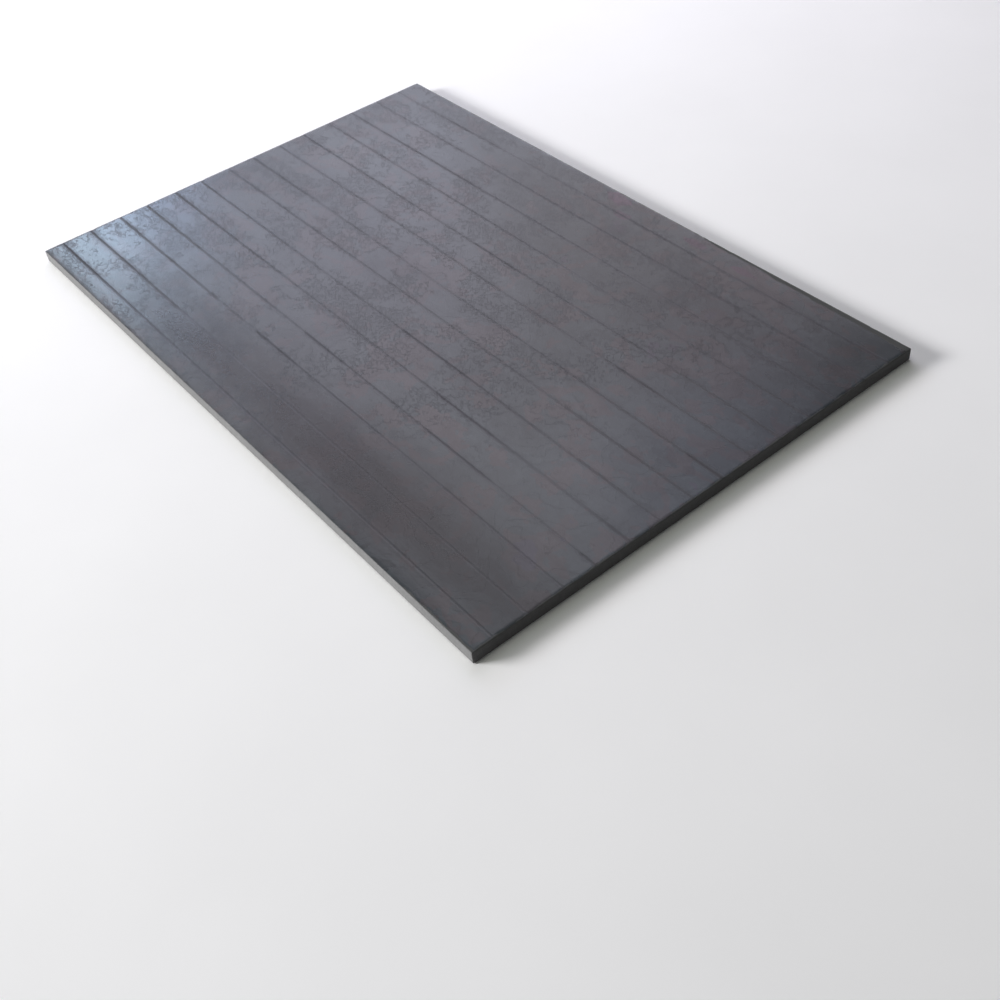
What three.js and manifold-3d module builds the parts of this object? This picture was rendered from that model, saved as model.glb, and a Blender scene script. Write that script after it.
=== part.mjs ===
// Extruded polystyrene insulation board, one piece of foam.
// It lies flat on the floor, grooved face up. Millimetres, +Z up.
// Origin: the middle of the underside. +X runs along the length and the
// grooves, +Y across the board.
import * as THREE from 'three';
import { mergeVertices } from 'three/addons/utils/BufferGeometryUtils.js';
import Module from 'manifold-3d';

// ---------------------------------------------------------------- dimensions
const LENGTH = 1200;          // along the grooves
const WIDTH = 800;            // across the grooves
const THICKNESS = 20;         // the thinnest common gauge of this board

const GROOVE_COUNT = 14;      // thin grooves in the top face, full length
const FIRST_GROOVE = 33;      // centre of the first groove from the -Y edge
const NARROW_STEP = 53;       // the spacing alternates between these two
const WIDE_STEP = 58;
const GROOVE_WIDTH = 3.6;     // at the top face
const GROOVE_DEPTH = 0.45;
const GROOVE_SIDES = 6;       // facets of the round groove bottom

const ARRIS = 1.5;            // radius of the long and end edges
const ARRIS_STEPS = 3;        // facets of each rounded edge
const CORNER = 2.0;           // radius of the four upright corners
const CORNER_STEPS = 4;

const COLOUR = 0x55565e;      // dark bluish grey foam
const ROUGHNESS = 0.55;       // satin extrusion skin
const METALNESS = 0;

// ------------------------------------------------------------------ sections
// A rounded rectangle, counter-clockwise, as a list of points. Where dips are
// given, they are cut into the top side, each as a round-bottomed groove.
function roundedSection(halfWidth, bottom, top, radius, steps, dips = []) {
  const points = [];
  const corner = (cx, cy, from) => {
    for (let i = 0; i <= steps; i += 1) {
      const a = from + (Math.PI / 2) * (i / steps);
      points.push(new THREE.Vector2(cx + radius * Math.cos(a), cy + radius * Math.sin(a)));
    }
  };
  corner(-halfWidth + radius, bottom + radius, Math.PI);
  corner(halfWidth - radius, bottom + radius, -Math.PI / 2);
  corner(halfWidth - radius, top - radius, 0);
  for (const centre of [...dips].sort((a, b) => b - a)) {
    for (let i = 0; i <= GROOVE_SIDES; i += 1) {
      const a = Math.PI * (i / GROOVE_SIDES);
      points.push(new THREE.Vector2(
        centre + (GROOVE_WIDTH / 2) * Math.cos(a),
        top - GROOVE_DEPTH * Math.sin(a),
      ));
    }
  }
  corner(-halfWidth + radius, top - radius, Math.PI / 2);
  return points;
}

const grooveCentres = [];
for (let i = 0, y = -WIDTH / 2 + FIRST_GROOVE; i < GROOVE_COUNT; i += 1) {
  grooveCentres.push(y);
  y += i % 2 === 0 ? NARROW_STEP : WIDE_STEP;
}

// ------------------------------------------------------------------- solids
const wasm = await Module();
wasm.setup();

function extruded(points, depth) {
  return new THREE.ExtrudeGeometry(new THREE.Shape(points), {
    depth, steps: 1, bevelEnabled: false,
  });
}

function toSolid(geometry) {
  const bare = geometry.clone();
  bare.deleteAttribute('normal');
  bare.deleteAttribute('uv');
  const merged = mergeVertices(bare, 1e-4);
  return new wasm.Manifold(new wasm.Mesh({
    numProp: 3,
    vertProperties: Float32Array.from(merged.attributes.position.array),
    triVerts: Uint32Array.from(merged.index.array),
  }));
}

function toGeometry(solid) {
  const mesh = solid.getMesh();
  const geometry = new THREE.BufferGeometry();
  geometry.setAttribute('position', new THREE.BufferAttribute(new Float32Array(mesh.vertProperties), 3));
  geometry.setIndex(new THREE.BufferAttribute(new Uint32Array(mesh.triVerts), 1));
  geometry.computeVertexNormals();
  return geometry;
}

// Cross-section in Y and Z with the grooves and long arrises, drawn along X.
const across = extruded(
  roundedSection(WIDTH / 2, 0, THICKNESS, ARRIS, ARRIS_STEPS, grooveCentres),
  LENGTH + 40,
);
across.translate(0, 0, -(LENGTH + 40) / 2);
across.applyMatrix4(new THREE.Matrix4().makeBasis(
  new THREE.Vector3(0, 1, 0),
  new THREE.Vector3(0, 0, 1),
  new THREE.Vector3(1, 0, 0),
));

// Lengthwise section in X and Z, which rounds the top and bottom of both ends.
const along = extruded(
  roundedSection(LENGTH / 2, 0, THICKNESS, ARRIS, ARRIS_STEPS),
  WIDTH + 40,
);
along.translate(0, 0, -(WIDTH + 40) / 2);
along.applyMatrix4(new THREE.Matrix4().makeBasis(
  new THREE.Vector3(1, 0, 0),
  new THREE.Vector3(0, 0, 1),
  new THREE.Vector3(0, -1, 0),
));

// Plan outline, which rounds the four upright corners.
const plan = extruded(
  roundedSection(LENGTH / 2, -WIDTH / 2, WIDTH / 2, CORNER, CORNER_STEPS),
  THICKNESS + 40,
);
plan.translate(0, 0, -20);

const board = toSolid(across).intersect(toSolid(along)).intersect(toSolid(plan));

// -------------------------------------------------------------------- object
const group = new THREE.Group();
const xpsBoard = new THREE.Mesh(
  toGeometry(board),
  new THREE.MeshStandardMaterial({
    color: COLOUR, roughness: ROUGHNESS, metalness: METALNESS,
  }),
);
xpsBoard.name = 'xps_board';
group.add(xpsBoard);

export default group;
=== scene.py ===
"""Extruded polystyrene insulation board, one piece of foam, lying flat on a
pale studio floor with its grooved face up. Metres, +X along the grooves."""
import math

import bpy
import numpy as np
from mathutils import Matrix, Vector
from mathutils.geometry import delaunay_2d_cdt


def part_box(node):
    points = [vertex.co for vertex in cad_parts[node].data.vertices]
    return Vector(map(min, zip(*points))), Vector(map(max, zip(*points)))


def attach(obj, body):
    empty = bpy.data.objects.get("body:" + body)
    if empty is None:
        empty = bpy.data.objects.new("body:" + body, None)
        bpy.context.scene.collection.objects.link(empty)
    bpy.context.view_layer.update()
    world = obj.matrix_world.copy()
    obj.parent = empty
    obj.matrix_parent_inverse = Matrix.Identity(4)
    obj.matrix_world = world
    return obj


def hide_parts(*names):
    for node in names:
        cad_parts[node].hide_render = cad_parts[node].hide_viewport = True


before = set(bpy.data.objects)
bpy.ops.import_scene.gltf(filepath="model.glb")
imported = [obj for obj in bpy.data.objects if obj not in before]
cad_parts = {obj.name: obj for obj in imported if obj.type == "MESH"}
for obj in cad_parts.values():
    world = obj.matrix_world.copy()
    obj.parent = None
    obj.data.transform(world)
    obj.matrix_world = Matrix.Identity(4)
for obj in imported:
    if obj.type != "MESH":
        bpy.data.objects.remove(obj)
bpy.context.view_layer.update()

LO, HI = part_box("xps_board")
LX, LY, H = HI.x, HI.y, HI.z            # half length, half width, thickness

# The groove pattern and edge radii of the solid, in metres.
FIRST_GROOVE, NARROW, WIDE, GROOVES = 0.033, 0.053, 0.058, 14
GROOVE_HALF, GROOVE_DEPTH = 0.0018, 0.00045
ARRIS = 0.0015

MM = 0.001
rng = np.random.default_rng(20)


# --------------------------------------------------------------------- noise
def lattice(seed, shape):
    return np.random.default_rng(seed).uniform(-1.0, 1.0, shape)


def value_noise(x, y, size_x, size_y, seed):
    """Smooth noise in -1..1 over arrays of x and y, with its own grain along
    each axis."""
    u, v = (np.asarray(x) + 5.0) / size_x, (np.asarray(y) + 5.0) / size_y
    i, j = np.floor(u).astype(int), np.floor(v).astype(int)
    fu, fv = u - i, v - j
    fu, fv = fu * fu * (3 - 2 * fu), fv * fv * (3 - 2 * fv)
    i0, j0 = i.min(), j.min()
    grid = lattice(seed, (i.max() - i0 + 2, j.max() - j0 + 2))
    i, j = i - i0, j - j0
    a = grid[i, j] * (1 - fu) + grid[i + 1, j] * fu
    b = grid[i, j + 1] * (1 - fu) + grid[i + 1, j + 1] * fu
    return a * (1 - fv) + b * fv


# ------------------------------------------------------------------ stations
def spread(a, b, step):
    n = max(1, int(round((b - a) / step)))
    return [a + (b - a) * k / n for k in range(1, n)]


ARC = [0.0, ARRIS * (1 - math.tan(math.radians(22.5))), ARRIS]
grooves = []
y = -LY + FIRST_GROOVE
for k in range(GROOVES):
    grooves.append(y)
    y += NARROW if k % 2 == 0 else WIDE
OFFSETS = [o * MM for o in (-3.0, -2.3, -1.85, -1.35, -0.75, 0.0, 0.75, 1.35, 1.85, 2.3, 3.0)]

ys = [-LY + a for a in ARC]
for c in grooves:
    ys += spread(ys[-1], c + OFFSETS[0], 4.6 * MM)
    ys += [c + o for o in OFFSETS]
ys += spread(ys[-1], LY - ARRIS, 4.6 * MM)
ys += [LY - a for a in reversed(ARC)]
xs = [-LX + a for a in ARC]
xs += spread(xs[-1], LX - ARRIS, 4.9 * MM)
xs += [LX - a for a in reversed(ARC)]
zs = [a for a in ARC]
zs += spread(zs[-1], H - ARRIS, 2.6 * MM)
zs += [H - a for a in reversed(ARC)]
xs, ys, zs = np.array(xs), np.array(ys), np.array(zs)
NX, NY, NZ = len(xs), len(ys), len(zs)


# -------------------------------------------------------------- board's form
# Where the groover bit deeper: groove number from the -Y edge, from x to x.
DEEPER = ((4, -0.07, 0.03), (6, 0.03, 0.19), (5, 0.20, 0.33), (4, 0.25, 0.37), (10, -0.07, 0.04), (6, 0.44, 0.52),
          (3, -0.13, -0.02), (8, 0.53, 0.60), (12, -0.34, -0.22), (9, 0.33, 0.41), (5, 0.55, 0.60), (4, 0.565, 0.60))


# How deep each groove is cut over its length, and how much deeper still at the
# -X end, counted from the -Y edge.
CUT = (0.36, 0.18, 0.38, 0.40, 0.60, 0.46, 0.38, 0.38, 0.34, 0.42, 0.46, 0.50, 0.48, 0.50)
CUT_LEFT = (0.42, 0.60, 0.30, 0.26, 0.20, 0.22, 0.10, 0.26, 0.30, 0.44, 0.0, 0.0, 0.0, 0.0)


def groove_weight(x, k):
    """How deep groove k is cut at x, from faint to full."""
    w = CUT[k] * (1 + 0.34 * value_noise(x, x * 0, 0.16, 1.0, 400 + k) + 0.14 * value_noise(x, x * 0, 0.034, 1.0, 500 + k))
    w += CUT_LEFT[k] * np.clip((-0.16 - x) / 0.4, 0, 1)
    for n, a, b in DEEPER:
        if n == k + 1:
            w = np.maximum(w, 0.72 * (x > a) * np.clip(1 - (x - b) / 0.05, 0, 1))
    if k < 6:
        w = w * (1 - 0.5 * np.clip((x - 0.2) / 0.3, 0, 1))
    return np.clip(w, 0.1, 1.0)


def groove_section(y, x):
    """Depth of the grooves below the skin at y, and how far inside one it is
    from 0 to 1. The lips stand up a little, as a hot tool leaves them."""
    depth, inside = np.zeros_like(y), np.zeros_like(y)
    for k, c in enumerate(grooves):
        wander = 0.12 * MM * value_noise(x, x * 0, 0.11, 1.0, 300 + k)
        d = np.abs(y - c - wander)
        weight = groove_weight(x, k)
        t = np.clip(d / (GROOVE_HALF * 1.3), 0, 1)
        cut = GROOVE_DEPTH * 0.95 * weight * 0.5 * (1 + np.cos(np.pi * t))
        lip = 0.03 * MM * np.exp(-((d - 2.4 * MM) / (0.5 * MM)) ** 2)
        near = d < 4 * MM
        depth = np.where(near, cut - lip, depth)
        inside = np.where(near, np.exp(-(d / (2.5 * MM)) ** 2) * weight, inside)
    return depth, inside


land_edges = np.array([-LY] + grooves + [LY])
land_tilt = np.random.default_rng(7).uniform(-1, 1, len(land_edges) - 1) * 0.0011


def skin_relief(x, y):
    """Slight waviness of the extruded face: long swells across the line of
    travel, finer ripples, and a small tilt of each land between grooves."""
    z = 0.16 * MM * value_noise(x, y, 0.21, 0.16, 11)
    z += 0.07 * MM * value_noise(x, y, 0.075, 0.06, 12)
    z += 0.022 * MM * value_noise(x, y, 0.026, 0.022, 13)
    z += 0.030 * MM * value_noise(x, y, 0.9, 0.012, 14)
    k = np.clip(np.searchsorted(land_edges, y) - 1, 0, len(land_tilt) - 1)
    mid = (land_edges[k] + land_edges[k + 1]) / 2
    half = (land_edges[k + 1] - land_edges[k]) / 2
    s = (y - mid) / half
    z += land_tilt[k] * (y - mid) * (1 - s ** 4)
    z += 0.05 * MM * (1 - s ** 2)
    fade = np.clip((LX - np.abs(x)) / 0.004, 0, 1) * np.clip((LY - np.abs(y)) / 0.004, 0, 1)
    return z * fade - 0.40 * MM * np.clip(1 - (LY - np.abs(y)) / 0.020, 0, 1) ** 2


# Broad places painted darker or lighter on the skin, painted shade and painted
# sheen: middle, half length, half width, turned by so many degrees, and how strong.
SHADE_AND_SHEEN_PLACES = ((0.28, -0.322, 0.50, 0.066, 1, -1.55), (-0.24, -0.335, 0.15, 0.040, 3, -1.00), (0.42, 0.27, 0.27, 0.12, 0, -0.85),
          (-0.45, 0.02, 0.18, 0.055, 0, -0.50), (-0.48, 0.16, 0.18, 0.055, 0, 0.40), (0.58, 0.0, 0.08, 0.30, 0, -0.45),
          (0.20, -0.19, 0.15, 0.055, 0, 0.40), (-0.13, 0.01, 0.08, 0.06, 0, -0.45))


# Random slow tone of the skin, plus painted shade and painted sheen in the listed places.
def tone_and_sheen_places(x, y):
    total = 0.12 * value_noise(x, y, 0.17, 0.11, 61)
    for cx, cy, a, b, turned, strength in SHADE_AND_SHEEN_PLACES:
        c, s = math.cos(math.radians(turned)), math.sin(math.radians(turned))
        u, v = (c * (x - cx) + s * (y - cy)) / a, (c * (y - cy) - s * (x - cx)) / b
        total = total + strength * np.exp(-(u * u + v * v))
    return total


def stains(x, y):
    total = 0 * x
    for cx, cy, a, b in ((0.010, 0.385, 0.038, 0.016), (0.045, 0.352, 0.022, 0.012), (0.19, 0.378, 0.040, 0.009), (0.30, 0.372, 0.035, 0.009)):
        total = total + np.exp(-((x - cx) / a) ** 2 - ((y - cy) / b) ** 2)
    return total


# Small bruises on the arrises: where along the edge, how long and how deep.
def nicks(seed, length, count):
    r = np.random.default_rng(seed)
    return [(r.uniform(-length, length), r.uniform(3, 11) * MM, r.uniform(0.15, 0.75) * MM) for _ in range(count)]


NICKS = {"front": nicks(21, LX, 13), "back": nicks(22, LX, 16), "left": nicks(23, LY, 9), "right": nicks(24, LY, 10)}


def bite(s, edge):
    total = np.zeros_like(s)
    for at, size, deep in NICKS[edge]:
        total = np.maximum(total, deep * np.exp(-((s - at) / (0.45 * size)) ** 2))
    return total


def shape(p):
    """Moves box-grid points to the board's real surface."""
    p = np.array(p, float)
    x, y, z = p[:, 0], p[:, 1], p[:, 2]
    lo = np.array([-LX + ARRIS, -LY + ARRIS, ARRIS])
    hi = np.array([LX - ARRIS, LY - ARRIS, H - ARRIS])
    inner = np.clip(p, lo, hi)
    out = p - inner
    n = np.linalg.norm(out, axis=1)
    n[n == 0] = 1
    q = inner + out / n[:, None] * ARRIS
    # grooves and skin relief, over the top and a little way down the ends
    depth, inside = groove_section(y, x)
    part = np.clip((z - (H - 5 * MM)) / (5 * MM), 0, 1)
    q[:, 2] -= depth * part
    top = np.clip((z - (H - 0.3 * MM)) / (0.3 * MM), 0, 1)
    q[:, 2] += skin_relief(x, y) * top
    # cut faces: a slow wander of the cut and fine tool marks
    on_y, on_x = np.abs(y) >= LY - 1e-6, np.abs(x) >= LX - 1e-6
    q[:, 1] += np.where(on_y, np.sign(y) * (0.13 * MM * value_noise(x, z, 0.14, 0.03, 31) + 0.04 * MM * value_noise(x, z, 0.013, 0.009, 32)), 0)
    q[:, 0] += np.where(on_x, np.sign(x) * (0.13 * MM * value_noise(y, z, 0.12, 0.03, 33) + 0.05 * MM * value_noise(y, z, 0.010, 0.012, 34)), 0)
    # bruised arrises, strongest on the 45 degree line of each edge
    to_top = np.clip(1 - (H - z) / (2.4 * MM), 0, 1)
    for edge, dist, along, axis, sign in (
        ("front", y + LY, x, 1, 1), ("back", LY - y, x, 1, -1),
        ("left", x + LX, y, 0, 1), ("right", LX - x, y, 0, -1),
    ):
        close = np.clip(1 - dist / (2.4 * MM), 0, 1)
        b = bite(along, edge) * close * to_top
        q[:, axis] += sign * b * 0.8
        q[:, 2] -= b * 0.8
    return q, inside * (z > H - 2.2 * MM)


# --------------------------------------------------------------- board's mesh
verts, faces, slots = [], [], []
index = {}


def vid(i, j, k):
    key = (i, j, k)
    if key not in index:
        index[key] = len(verts)
        verts.append((xs[i], ys[j], zs[k]))
    return index[key]


T, E, U = 0, 1, 2                        # skin, cut edge, underside
for i in range(NX - 1):
    for j in range(NY - 1):
        faces.append((vid(i, j, NZ - 1), vid(i + 1, j, NZ - 1), vid(i + 1, j + 1, NZ - 1), vid(i, j + 1, NZ - 1)))
        slots.append(E if i in (0, NX - 2) or j in (0, NY - 2) else T)
for k in range(NZ - 1):
    slot = E if k > 0 else U
    for i in range(NX - 1):
        faces.append((vid(i, 0, k), vid(i + 1, 0, k), vid(i + 1, 0, k + 1), vid(i, 0, k + 1)))
        faces.append((vid(i + 1, NY - 1, k), vid(i, NY - 1, k), vid(i, NY - 1, k + 1), vid(i + 1, NY - 1, k + 1)))
        slots += [slot, slot]
    for j in range(NY - 1):
        faces.append((vid(0, j + 1, k), vid(0, j, k), vid(0, j, k + 1), vid(0, j + 1, k + 1)))
        faces.append((vid(NX - 1, j, k), vid(NX - 1, j + 1, k), vid(NX - 1, j + 1, k + 1), vid(NX - 1, j, k + 1)))
        slots += [slot, slot]

points, inside = shape(verts)
verts = [tuple(p) for p in points]
inside = list(inside)

# The underside is flat and plain: its rim joins the sides, and its middle is a
# loose mesh of larger triangles with a very shallow waviness.
rim = [(i, 0) for i in range(NX - 1)] + [(NX - 1, j) for j in range(NY - 1)]
rim += [(i, NY - 1) for i in range(NX - 1, 0, -1)] + [(0, j) for j in range(NY - 1, 0, -1)]
loop = [vid(i, j, 0) for i, j in rim]
flat = [Vector((verts[v][0], verts[v][1])) for v in loop]
edges = [(a, (a + 1) % len(loop)) for a in range(len(loop))]
for margin, step in ((0.006, 0.006), (0.016, 0.012), (0.036, 0.02)):
    for a in np.arange(-LX + margin, LX - margin + 1e-9, (2 * LX - 2 * margin) / round((2 * LX - 2 * margin) / step)):
        flat += [Vector((a, -LY + margin)), Vector((a, LY - margin))]
    n = round((2 * LY - 2 * margin) / step)
    for b in np.linspace(-LY + margin, LY - margin, n + 1)[1:-1]:
        flat += [Vector((-LX + margin, b)), Vector((LX - margin, b))]
for row, b in enumerate(np.linspace(-LY + 0.06, LY - 0.06, 24)):
    for a in np.linspace(-LX + 0.06 + 0.011 * (row % 2), LX - 0.06 - 0.011 * ((row + 1) % 2), 36):
        flat.append(Vector((a, b)))
pts, _, tris, orig, _, _ = delaunay_2d_cdt(flat, edges, [], 1, 1e-7)
where = {}
for n, p in enumerate(pts):
    src = [o for o in orig[n] if o < len(loop)]
    if src:
        where[n] = loop[src[0]]
    else:
        where[n] = len(verts)
        lift = 0.03 * MM * (1 + value_noise(np.array([p[0]]), np.array([p[1]]), 0.12, 0.1, 41)[0])
        near = min(LX - abs(p[0]), LY - abs(p[1])) / 0.02
        verts.append((p[0], p[1], lift * min(1.0, near)))
        inside.append(0.0)
for t in tris:
    a, b, c = (pts[n] for n in t)
    area = (b - a).cross(c - a) if hasattr(b - a, "cross") else 1
    t = tuple(t) if area < 0 else tuple(reversed(t))
    faces.append(tuple(where[n] for n in t))
    slots.append(U)

mesh = bpy.data.meshes.new("xps_board_foam")
mesh.from_pydata(verts, [], faces)
mesh.validate()
mesh.update()
mesh.polygons.foreach_set("material_index", slots)
mesh.polygons.foreach_set("use_smooth", [True] * len(faces))
attribute = mesh.attributes.new("groove", "FLOAT", "POINT")
attribute.data.foreach_set("value", np.array(inside, np.float32))
at = np.array(verts)
for name, values in (("tone_and_sheen", tone_and_sheen_places(at[:, 0], at[:, 1])), ("stain", stains(at[:, 0], at[:, 1]))):
    attribute = mesh.attributes.new(name, "FLOAT", "POINT")
    attribute.data.foreach_set("value", values.astype(np.float32))
board = bpy.data.objects.new("xps_board_foam", mesh)
bpy.context.scene.collection.objects.link(board)
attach(board, "root")
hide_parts("xps_board")


# ------------------------------------------------------------------ materials
class Tree:
    """A few short names for building a material's nodes."""

    def __init__(self, name):
        self.material = bpy.data.materials.new(name)
        self.material.use_nodes = True
        self.tree = self.material.node_tree
        self.tree.nodes.clear()
        self.out = self.node("ShaderNodeOutputMaterial")
        self.shader = self.node("ShaderNodeBsdfPrincipled")
        self.link(self.shader.outputs[0], self.out.inputs[0])
        self.at = self.node("ShaderNodeTexCoord").outputs["Object"]

    def node(self, kind, **settings):
        n = self.tree.nodes.new(kind)
        for k, v in settings.items():
            setattr(n, k, v)
        return n

    def link(self, a, b):
        self.tree.links.new(a, b)

    def put(self, socket, value):
        if isinstance(value, bpy.types.NodeSocket):
            self.link(value, socket)
        else:
            socket.default_value = value

    def math(self, op, a, b=0.0, c=0.0, clamp=False):
        n = self.node("ShaderNodeMath", operation=op, use_clamp=clamp)
        for s, v in zip(n.inputs, (a, b, c)):
            self.put(s, v)
        return n.outputs[0]

    def ramp(self, value, lo, hi, to_lo=0.0, to_hi=1.0, kind="SMOOTHSTEP"):
        n = self.node("ShaderNodeMapRange", interpolation_type=kind)
        for s, v in zip(n.inputs, (value, lo, hi, to_lo, to_hi)):
            self.put(s, v)
        return n.outputs[0]

    def stretch(self, sx=1.0, sy=1.0, sz=1.0, shift=(0, 0, 0)):
        n = self.node("ShaderNodeMapping")
        self.link(self.at, n.inputs["Vector"])
        n.inputs["Scale"].default_value = (sx, sy, sz)
        n.inputs["Location"].default_value = shift
        return n.outputs[0]

    def noise(self, scale, detail=3.0, rough=0.5, warp=0.0, at=None):
        n = self.node("ShaderNodeTexNoise")
        self.link(at or self.at, n.inputs["Vector"])
        for k, v in (("Scale", scale), ("Detail", detail), ("Roughness", rough), ("Distortion", warp)):
            n.inputs[k].default_value = v
        return n.outputs["Fac"]

    def cells(self, scale, feature="F1", at=None):
        n = self.node("ShaderNodeTexVoronoi", feature=feature)
        self.link(at or self.at, n.inputs["Vector"])
        n.inputs["Scale"].default_value = scale
        return n.outputs["Distance"]

    def mix(self, factor, a, b, how="MIX"):
        n = self.node("ShaderNodeMix", data_type="RGBA", blend_type=how)
        self.put(n.inputs["Factor"], factor)
        for s, v in ((n.inputs[6], a), (n.inputs[7], b)):
            self.put(s, (*v, 1.0) if isinstance(v, tuple) and len(v) == 3 else v)
        return n.outputs[2]

    def scale(self, colour, value):
        n = self.node("ShaderNodeVectorMath", operation="SCALE")
        self.put(n.inputs[0], colour)
        self.put(n.inputs["Scale"], value)
        return n.outputs[0]

    def bump(self, height, distance, strength=1.0, after=None):
        n = self.node("ShaderNodeBump")
        self.put(n.inputs["Height"], height)
        n.inputs["Distance"].default_value = distance
        n.inputs["Strength"].default_value = strength
        if after:
            self.link(after, n.inputs["Normal"])
        return n.outputs[0]

    def xyz(self):
        n = self.node("ShaderNodeSeparateXYZ")
        self.link(self.at, n.inputs[0])
        return n.outputs


def skin_material():
    """The extruded face: satin, violet-grey. The skin has set in thin flakes,
    each with a fine crinkled rim and a slightly different tint."""
    t = Tree("xps_skin")
    x, y, z = t.xyz()

    # flakes: the levels of a broad noise whose fine part comes and goes
    busy = t.ramp(t.noise(11.0, 3.0, 0.6, 0.0, t.stretch(1.0, 1.25, 1.0, (4.1, 0.3, 0))), 0.38, 0.56, 0.12, 1.0)
    busy = t.math("MULTIPLY", busy, t.ramp(t.math("MULTIPLY_ADD", y, -0.9, x), 0.05, 0.70, 1.0, 0.25))
    busy = t.math("MULTIPLY", busy, t.ramp(x, 0.28, 0.50, 1.0, 0.35))
    # a random slow tone, with painted shade and painted sheen in broad places
    tone_and_sheen = t.node("ShaderNodeAttribute", attribute_name="tone_and_sheen").outputs["Fac"]

    def level(shift):
        at = t.node("ShaderNodeVectorMath", operation="ADD")
        t.link(t.at, at.inputs[0])
        at.inputs[1].default_value = shift
        at = at.outputs[0]
        broad = t.noise(10.0, 2.0, 0.5, 0.0, at)
        fine = t.noise(125.0, 3.0, 0.62, 0.0, at)
        f = t.math("MULTIPLY_ADD", t.math("SUBTRACT", fine, 0.5), t.math("MULTIPLY", busy, 0.62), broad)
        f = t.math("MULTIPLY_ADD", tone_and_sheen, 0.15, f)
        return t.math("FLOOR", t.math("MULTIPLY", f, 9.0))

    step = 1.5 * MM
    here, east, north = level((0, 0, 0)), level((step, 0, 0)), level((0, step, 0))
    rim = t.math("ADD", t.math("ABSOLUTE", t.math("SUBTRACT", here, east)), t.math("ABSOLUTE", t.math("SUBTRACT", here, north)))
    rim = t.math("MULTIPLY", t.math("MINIMUM", rim, 1.0), t.ramp(busy, 0.15, 0.75, 0.30, 1.0))

    # the set skin is a patchwork of ragged places, each with its own tint and tone
    def places(scale, shift, count):
        at = t.stretch(1.0, 1.15, 1.0, shift)
        return t.math("FLOOR", t.math("MULTIPLY", t.noise(scale, 4.0, 0.60, 0.0, at), count))

    def draw(value, factor):
        n = t.node("ShaderNodeTexWhiteNoise", noise_dimensions="1D")
        t.link(t.math("MULTIPLY", value, factor), n.inputs["W"])
        return n.outputs["Value"]

    tint_of = draw(places(9.0, (2.2, 5.1, 0), 13.0), 1.31)
    pick = draw(places(15.0, (7.4, 1.9, 0), 11.0), 2.17)
    colour = t.mix(t.ramp(tint_of, 0.30, 0.31), (0.0540, 0.0550, 0.0740), (0.0562, 0.0546, 0.0652))
    colour = t.mix(t.ramp(tint_of, 0.55, 0.56), colour, (0.0508, 0.0576, 0.0624))
    colour = t.mix(t.ramp(tint_of, 0.80, 0.81), colour, (0.0588, 0.0560, 0.0594))
    # the tints and tones stand out more towards the +X end, where the gloss is less
    towards_end = t.ramp(x, -0.10, 0.50)
    colour = t.mix(t.math("MULTIPLY", towards_end, 0.45), colour, t.scale(colour, 17.3), "MULTIPLY")
    contrast = t.math("MULTIPLY_ADD", towards_end, 0.16, t.ramp(tone_and_sheen, -1.2, 0.0, 0.84, 0.22, "LINEAR"))
    contrast = t.math("MINIMUM", contrast, 0.9)
    colour = t.scale(colour, t.math("MULTIPLY_ADD", t.math("MULTIPLY_ADD", pick, 2.0, -1.0), contrast, 1.0))
    colour = t.scale(colour, t.ramp(here, 1.0, 7.0, 0.86, 1.14, "LINEAR"))

    # a few warm stains near the back edge
    stain = t.node("ShaderNodeAttribute", attribute_name="stain").outputs["Fac"]
    stain = t.math("MULTIPLY_ADD", t.math("SUBTRACT", t.noise(45.0, 4.0, 0.6), 0.5), 1.3, stain)
    colour = t.mix(t.ramp(stain, 0.52, 0.60, 0.0, 0.85), colour, (0.0840, 0.0545, 0.0760))

    # drawn streaks along the board; the rims, painted darker as shade in their fine creases; ragged patches of painted
    # shade and sheen; and painted shade towards the +X end
    streak = t.noise(1.0, 3.0, 0.55, 0.0, t.stretch(1.1, 26.0, 1.0))
    fine_streak = t.noise(1.0, 3.0, 0.6, 0.0, t.stretch(5.0, 330.0, 1.0))
    shade = t.ramp(streak, 0.3, 0.7, 0.93, 1.07, "LINEAR")
    shade = t.math("MULTIPLY", shade, t.ramp(fine_streak, 0.3, 0.7, 0.985, 1.015, "LINEAR"))
    # the crinkle rims are painted darker, as shade in their creases
    shade = t.math("MULTIPLY", shade, t.ramp(rim, 0.0, 1.0, 1.0, 0.47, "LINEAR"))
    # ragged patches of painted shade and painted sheen over the broad places, with random tone mixed in
    patchy_tone_and_sheen = t.math("MULTIPLY_ADD", t.math("SUBTRACT", t.noise(26.0, 4.0, 0.62, 0.0, t.stretch(0.7, 1.3, 1.0, (1.3, 8.2, 0))), 0.5), 1.1, tone_and_sheen)
    patchy_tone_and_sheen = t.math("DIVIDE", t.math("FLOOR", t.math("MULTIPLY", patchy_tone_and_sheen, 5.0)), 5.0)
    shade = t.math("MULTIPLY", shade, t.ramp(patchy_tone_and_sheen, -1.5, 0.9, 0.22, 1.55, "LINEAR"))
    # painted shade: the colour is made darker towards the +X end, where the sheen falls off
    shade = t.math("MULTIPLY", shade, t.math("MULTIPLY_ADD", towards_end, -0.22, 1.0))
    colour = t.scale(colour, shade)

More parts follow.
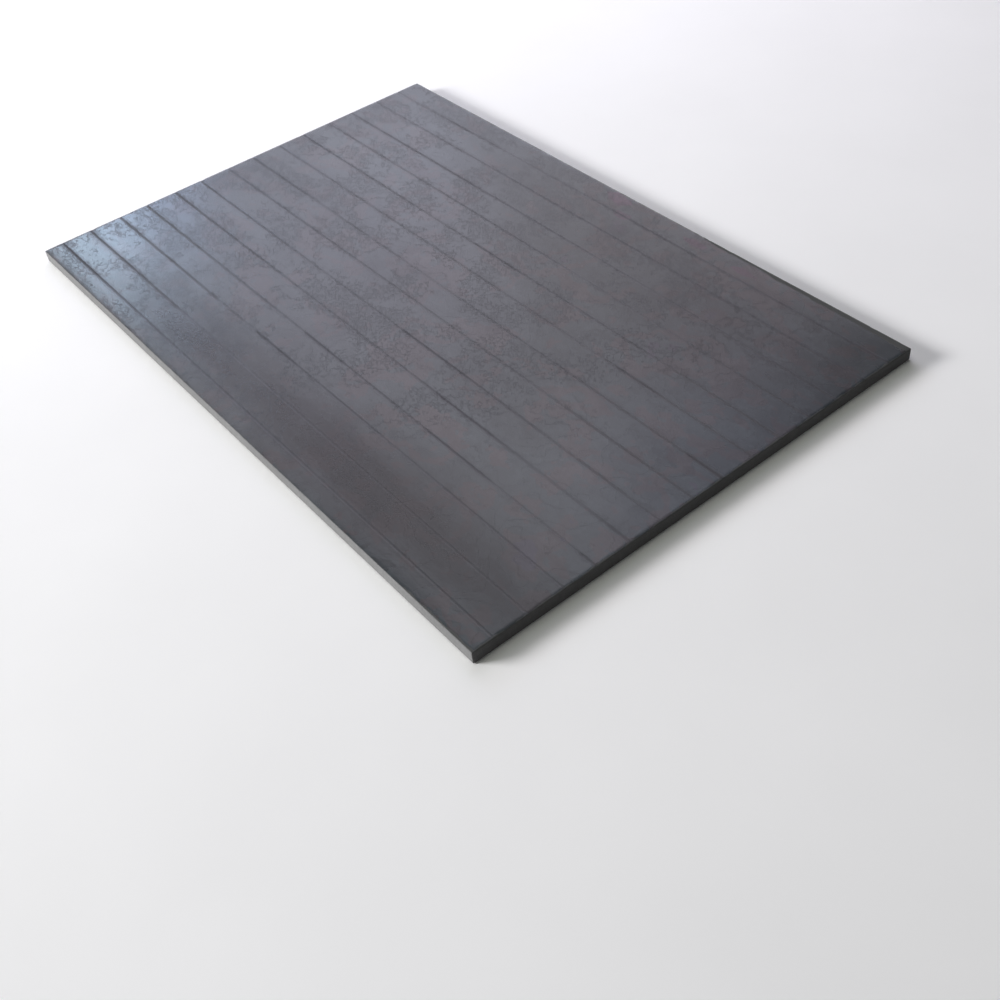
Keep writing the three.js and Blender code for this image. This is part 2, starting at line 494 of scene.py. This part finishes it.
    # plain matt margin where the skin was trimmed or rubbed at the board's rim
    ragged = t.math("MULTIPLY", t.math("SUBTRACT", t.noise(34.0, 5.0, 0.6), 0.5), 0.020)
    wide = t.ramp(x, -0.05, 0.60, 0.001, 0.011)
    to_back = t.math("SUBTRACT", t.math("SUBTRACT", LY, y), wide)
    to_front = t.math("SUBTRACT", t.math("ADD", y, LY), t.ramp(x, 0.2, 0.6, -0.004, 0.004))
    to_right = t.math("SUBTRACT", t.math("SUBTRACT", LX, x), 0.002)
    to_left = t.math("SUBTRACT", t.math("ADD", x, LX), 0.001)
    near = t.math("MINIMUM", t.math("MINIMUM", to_back, to_front), t.math("MINIMUM", to_right, to_left))
    near = t.math("ADD", near, t.math("MULTIPLY", ragged, 0.55))
    margin = t.ramp(near, 0.0015, -0.0010)
    speck = t.noise(900.0, 2.0, 0.6)
    plain = t.scale(t.mix(0.0, (0.0500, 0.0520, 0.0500), (0.0500, 0.0520, 0.0500)), t.ramp(speck, 0.3, 0.7, 0.86, 1.14, "LINEAR"))
    colour = t.mix(margin, colour, plain)

    # grooves: painted darker, as shade in their recess, and matt
    groove = t.node("ShaderNodeAttribute", attribute_name="groove").outputs["Fac"]
    colour = t.mix(t.math("MULTIPLY", groove, 1.5, clamp=True), colour, (0.020, 0.020, 0.024))
    t.link(colour, t.shader.inputs["Base Color"])

    rough = t.ramp(streak, 0.3, 0.7, 0.215, 0.25, "LINEAR")
    rough = t.math("ADD", rough, t.math("MULTIPLY", rim, 0.11))
    rough = t.math("ADD", rough, t.ramp(pick, 0.0, 1.0, -0.025, 0.025, "LINEAR"))
    rough = t.math("MAXIMUM", rough, t.math("MULTIPLY", margin, 0.72))
    rough = t.math("ADD", rough, t.math("MULTIPLY", groove, 0.30))
    t.link(rough, t.shader.inputs["Roughness"])
    t.shader.inputs["IOR"].default_value = 1.45

    peel = t.noise(230.0, 3.0, 0.5, 0.2)
    grain = t.noise(1100.0, 2.0, 0.5)
    n = t.bump(peel, 0.00008)
    n = t.bump(t.math("MULTIPLY", rim, -1.0), 0.00002, after=n)
    n = t.bump(fine_streak, 0.00004, after=n)
    n = t.bump(grain, 0.00001, after=n)
    t.link(n, t.shader.inputs["Normal"])
    return t.material


def edge_material():
    """The cut sides: paler, partly their own colour and partly painted light from the side lamp; matt, fine closed
    cells with faint tool marks.
    """
    t = Tree("xps_cut_edge")
    cell = t.cells(820.0)
    speck = t.noise(520.0, 3.0, 0.6)
    tool = t.noise(1.0, 3.0, 0.6, 0.0, t.stretch(210.0, 210.0, 30.0))
    layer = t.noise(1.0, 2.0, 0.5, 0.0, t.stretch(6.0, 6.0, 420.0))
    slow = t.noise(9.0, 3.0, 0.5)
    shade = t.ramp(cell, 0.0, 0.75, 0.88, 1.10, "LINEAR")
    shade = t.math("MULTIPLY", shade, t.ramp(speck, 0.3, 0.7, 0.91, 1.09, "LINEAR"))
    shade = t.math("MULTIPLY", shade, t.ramp(tool, 0.3, 0.7, 0.95, 1.05, "LINEAR"))
    shade = t.math("MULTIPLY", shade, t.ramp(slow, 0.3, 0.7, 0.93, 1.07, "LINEAR"))
    # the pale cut colour is partly the foam's own and partly painted light from the side lamp
    colour = t.mix(t.ramp(layer, 0.35, 0.65), (0.167, 0.168, 0.168), (0.180, 0.180, 0.179))
    # the ends are sawn; both are painted about a third as bright as the long sides, as painted shade; the long sides
    # are smooth
    end = t.ramp(t.math("ABSOLUTE", t.xyz()[0]), LX - 1.6 * MM, LX - 0.8 * MM)
    colour = t.scale(colour, t.math("MULTIPLY", shade, t.ramp(end, 0.0, 1.0, 1.0, 0.36, "LINEAR")))
    t.link(colour, t.shader.inputs["Base Color"])
    rough = t.ramp(speck, 0.3, 0.7, 0.74, 0.9, "LINEAR")
    t.link(rough, t.shader.inputs["Roughness"])
    t.shader.inputs["IOR"].default_value = 1.45
    n = t.bump(cell, 0.00022)
    n = t.bump(tool, 0.00014, after=n)
    n = t.bump(speck, 0.00010, after=n)
    t.link(n, t.shader.inputs["Normal"])
    return t.material


def under_material():
    """The plain face: matt, neutral dark grey with a fine even speckle."""
    t = Tree("xps_underside")
    speck = t.noise(640.0, 3.0, 0.65)
    cell = t.cells(700.0)
    streak = t.noise(1.0, 3.0, 0.55, 0.0, t.stretch(1.3, 30.0, 1.0, (2.0, 0.0, 0)))
    slow = t.noise(7.0, 4.0, 0.55)
    shade = t.ramp(speck, 0.3, 0.7, 0.84, 1.16, "LINEAR")
    shade = t.math("MULTIPLY", shade, t.ramp(cell, 0.0, 0.75, 0.93, 1.06, "LINEAR"))
    shade = t.math("MULTIPLY", shade, t.ramp(streak, 0.3, 0.7, 0.94, 1.06, "LINEAR"))
    shade = t.math("MULTIPLY", shade, t.ramp(slow, 0.3, 0.7, 0.93, 1.07, "LINEAR"))
    colour = t.mix(t.ramp(slow, 0.42, 0.58), (0.073, 0.075, 0.074), (0.077, 0.077, 0.075))
    colour = t.scale(colour, shade)
    t.link(colour, t.shader.inputs["Base Color"])
    rough = t.ramp(speck, 0.3, 0.7, 0.66, 0.82, "LINEAR")
    t.link(rough, t.shader.inputs["Roughness"])
    t.shader.inputs["IOR"].default_value = 1.45
    n = t.bump(speck, 0.00010)
    n = t.bump(cell, 0.00010, after=n)
    n = t.bump(streak, 0.0006, after=n)
    t.link(n, t.shader.inputs["Normal"])
    return t.material


for material in (skin_material(), edge_material(), under_material()):
    mesh.materials.append(material)

# ---------------------------------------------------------------------- stage
HORIZON, ZENITH = 0.45, 0.04
floor_mesh = bpy.data.meshes.new("floor")
S = 30.0
floor_mesh.from_pydata([(-S, -S, -0.0004), (S, -S, -0.0004), (S, S, -0.0004), (-S, S, -0.0004)], [], [(0, 1, 2, 3)])
floor = bpy.data.objects.new("floor", floor_mesh)
bpy.context.scene.collection.objects.link(floor)
ft = Tree("floor_pale")
fx, fy, _ = ft.xyz()
far = ft.ramp(ft.math("SQRT", ft.math("ADD", ft.math("MULTIPLY", fx, fx), ft.math("MULTIPLY", fy, fy))), 3.2, 8.0)
tone = ft.ramp(ft.noise(3.0, 3.0, 0.5), 0.3, 0.7, 0.985, 1.015, "LINEAR")
tone = ft.math("MULTIPLY", tone, ft.math("SUBTRACT", 1.0, far))
ft.link(ft.scale(ft.mix(0.0, (0.94, 0.94, 0.94), (0.94, 0.94, 0.94)), tone), ft.shader.inputs["Base Color"])
ft.shader.inputs["Roughness"].default_value = 0.9
ft.shader.inputs["Specular IOR Level"].default_value = 0.1
ft.shader.inputs["Emission Color"].default_value = (1.0, 1.0, 1.0, 1.0)
ft.link(ft.math("MULTIPLY", far, HORIZON), ft.shader.inputs["Emission Strength"])
floor_mesh.materials.append(ft.material)

# The studio around is pale at the horizon, where the floor runs into it, and
# dim overhead.
world = bpy.data.worlds.new("studio")
bpy.context.scene.world = world
world.use_nodes = True
nodes, links = world.node_tree.nodes, world.node_tree.links
way = nodes.new("ShaderNodeTexCoord")
split = nodes.new("ShaderNodeSeparateXYZ")
fall = nodes.new("ShaderNodeMapRange")
fall.interpolation_type = "SMOOTHSTEP"
links.new(way.outputs["Generated"], split.inputs[0])
links.new(split.outputs[2], fall.inputs[0])
for socket, value in zip(fall.inputs[1:5], (0.06, 0.42, HORIZON, ZENITH)):
    socket.default_value = value
background = nodes["Background"]
background.inputs[0].default_value = (1.0, 1.0, 1.0, 1.0)
links.new(fall.outputs[0], background.inputs[1])


def softbox(name, towards, azimuth, elevation, distance, width, height, power, colour, spread_deg=180.0):
    """A rectangular soft light, seen from `towards` at that azimuth (from +X,
    anticlockwise) and elevation. power is its radiance times its area times pi."""
    a, e = math.radians(azimuth), math.radians(elevation)
    d = Vector((math.cos(a) * math.cos(e), math.sin(a) * math.cos(e), math.sin(e)))
    lamp = bpy.data.lights.new(name, "AREA")
    lamp.shape = "RECTANGLE"
    lamp.size, lamp.size_y = width, height
    lamp.energy = power
    lamp.color = colour
    lamp.spread = math.radians(spread_deg)
    o = bpy.data.objects.new(name, lamp)
    o.matrix_world = Matrix.Translation(Vector(towards) + d * distance) @ d.to_track_quat("Z", "Y").to_matrix().to_4x4()
    o.visible_camera = False
    bpy.context.scene.collection.objects.link(o)
    return o


def radiance(value, width, height):
    return value * math.pi * width * height


# Behind the board stands one tilted wall of soft panels, which the satin skin
# mirrors. Its axes run along the lines that the board's length and width make
# in that mirror, so the sheen fades along the board as the panels end.
WALL = Vector((-1.921, 1.238, 1.755))
FACING = Vector((-0.6695, 0.4315, 0.6046))
LEVEL = Vector((-0.5417, -0.8406, 0.0))
RISE = Vector((0.5082, -0.3275, 0.7965))
ACROSS = 0.945 * LEVEL + 0.327 * RISE
ALONG = -0.327 * LEVEL + 0.945 * RISE


def panel(name, across, along, value, colour):
    """A panel of that wall, from across[0] to across[1] and so on."""
    width, height = across[1] - across[0], along[1] - along[0]
    lamp = bpy.data.lights.new(name, "AREA")
    lamp.shape = "RECTANGLE"
    lamp.size, lamp.size_y = width, height
    lamp.energy = radiance(value, width, height)
    lamp.color = colour
    o = bpy.data.objects.new(name, lamp)
    axes = Matrix((ACROSS, ALONG, ACROSS.cross(ALONG))).transposed()
    centre = WALL + ACROSS * (across[0] + across[1]) / 2 + ALONG * (along[0] + along[1]) / 2
    o.matrix_world = Matrix.Translation(centre) @ axes.to_4x4()
    o.visible_camera = False
    bpy.context.scene.collection.objects.link(o)
    return o


softbox("key", (0, 0, 0), 236.5, 20.0, 8.0, 3.0, 1.7, radiance(52.3, 3.0, 1.7), (1.0, 0.99, 1.0))
softbox("top", (0, 0, 0), 250.0, 80.0, 4.5, 3.0, 3.0, radiance(1.45, 3.0, 3.0), (0.96, 1.0, 0.90))
panel("panel_wide", (-1.9, 1.75), (-1.45, 0.71), 1.45, (1.0, 0.89, 0.97))
panel("panel_low", (-0.3, 0.7), (-0.72, 0.12), 1.11, (0.705, 0.725, 1.0))
panel("panel_high", (-0.3, 0.7), (0.58, 1.42), 2.09, (0.955, 0.92, 1.0))
panel("panel_side", (-1.1, -0.1), (0.58, 1.42), 1.24, (0.765, 0.765, 1.0))
panel("panel_far", (-1.9, 1.75), (-1.45, -0.42), 0.71, (0.465, 0.71, 1.0))
softbox("sheen_a", (-0.55, -0.3, 0.02), 160.0, 26.0, 3.0, 0.4, 0.35, radiance(6.5, 0.4, 0.35), (0.44, 0.62, 1.0))
softbox("sheen_b", (-0.55, -0.3, 0.02), 166.0, 29.0, 3.0, 0.4, 0.35, radiance(10.8, 0.4, 0.35), (0.56, 0.795, 1.0))

# --------------------------------------------------------------------- camera
camera_data = bpy.data.cameras.new("camera")
camera = bpy.data.objects.new("camera", camera_data)
right = Vector((0.63486, 0.76818, -0.08275))
up = Vector((-0.50716, 0.49513, 0.70543))
back = Vector((0.58287, -0.40589, 0.70393))
turn = Matrix((right, up, back)).transposed()
camera.matrix_world = Matrix.Translation((1.4079, -0.8689, 1.1847)) @ turn.to_4x4()
camera_data.sensor_width = 36.0
camera_data.lens = 45.598
camera_data.shift_x = -0.020
camera_data.clip_start, camera_data.clip_end = 0.05, 200.0
bpy.context.scene.collection.objects.link(camera)
bpy.context.scene.camera = camera

view = bpy.context.scene.view_settings
view.view_transform = "Standard"
view.look = "None"
view.exposure = 0.0
view.gamma = 1.0

print("board mesh", len(mesh.vertices), "points", sum(len(p.vertices) - 2 for p in mesh.polygons), "triangles")
